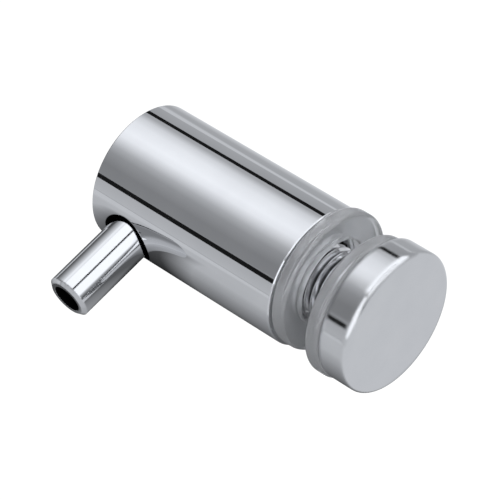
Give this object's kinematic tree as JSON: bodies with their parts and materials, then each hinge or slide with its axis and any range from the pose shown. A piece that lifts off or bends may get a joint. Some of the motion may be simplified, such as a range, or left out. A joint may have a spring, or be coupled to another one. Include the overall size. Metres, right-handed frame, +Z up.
{
  "type": "panel holder",
  "caption": "Round chrome stand-off that grips a wire rope in a spring-loaded side nozzle and clamps a panel between clear washers under a screwed cap.",
  "frame": {"origin": "where the axis of the wire crosses the axis of the barrel", "axes": "+X along the barrel towards the cap, -Y along the wire out of the release nozzle, +Z up as the holder lies in the picture; in use the wire usually hangs upright"},
  "size_m": [0.0435, 0.0307, 0.0194],
  "materials": {
    "chrome": "polished chrome plate",
    "plated_thread": "plated thread",
    "steel": "plain steel",
    "clear_plastic": "clear, glossy"
  },
  "bodies": {
    "barrel": {"barrel": "chrome", "cone_sleeve": "steel", "end_plug": "chrome", "return_spring": "steel", "barrel_washer": "clear_plastic"},
    "nozzle": {"release_nozzle": "chrome"},
    "ball_1": {"grip_ball_1": "steel"},
    "ball_2": {"grip_ball_2": "steel"},
    "ball_3": {"grip_ball_3": "steel"},
    "cap_washer": {"cap_washer": "clear_plastic"},
    "cap": {"cap": "chrome", "stud": "plated_thread"}
  },
  "joints": [
    {"name": "nozzle_press", "type": "slide", "parent": "barrel", "child": "nozzle", "axis": [0, 1, 0], "range_m": [0, 0.0018], "stiffness_N_per_m": 800, "springref_m": -0.003, "deforming": ["return_spring"]},
    {"name": "ball_1_lift", "type": "slide", "parent": "nozzle", "child": "ball_1", "axis": [1, 0, 0], "range_m": [0, 0.000383]},
    {"name": "ball_2_lift", "type": "slide", "parent": "nozzle", "child": "ball_2", "axis": [-0.5, 0, 0.866], "range_m": [0, 0.000383]},
    {"name": "ball_3_lift", "type": "slide", "parent": "nozzle", "child": "ball_3", "axis": [-0.5, 0, -0.866], "range_m": [0, 0.000383]},
    {"name": "cap_travel", "type": "slide", "parent": "barrel", "child": "cap_washer", "axis": [1, 0, 0], "range_m": [-0.00421, 0.01001]},
    {"name": "cap_turn", "type": "hinge", "parent": "cap_washer", "child": "cap", "pos_m": [0.0332, 0, 0], "axis": [1, 0, 0], "range_deg": [-1508, 3600]}
  ],
  "couplings": [
    {"joint": "ball_1_lift", "follows": "nozzle_press", "ratio": 0.21256},
    {"joint": "ball_2_lift", "follows": "nozzle_press", "ratio": 0.21256},
    {"joint": "ball_3_lift", "follows": "nozzle_press", "ratio": 0.21256},
    {"joint": "cap_travel", "follows": "cap_turn", "m_per_rad": 0.00015915}
  ]
}
